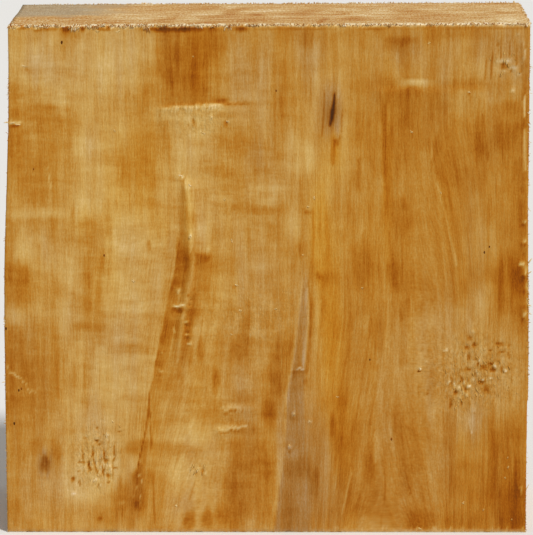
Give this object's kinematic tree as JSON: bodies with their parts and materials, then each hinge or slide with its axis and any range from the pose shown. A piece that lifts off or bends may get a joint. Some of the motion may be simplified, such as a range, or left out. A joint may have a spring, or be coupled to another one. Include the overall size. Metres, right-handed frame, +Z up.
{
  "type": "wood turning blank",
  "caption": "Rough-sawn square block of figured hardwood, cut for turning into a bowl or platter on a lathe.",
  "frame": {"origin": "middle of the end-grain cut that the block stands on, at the middle of its width and thickness", "axes": "+Z up, along the grain; +X across the broad face, to the right in the picture; +Y through the thickness, away from the viewer"},
  "size_m": [0.208, 0.078, 0.2043],
  "materials": {
    "sawn_wood": "matte"
  },
  "bodies": {
    "root": {"turning_blank": "sawn_wood"}
  },
  "joints": []
}
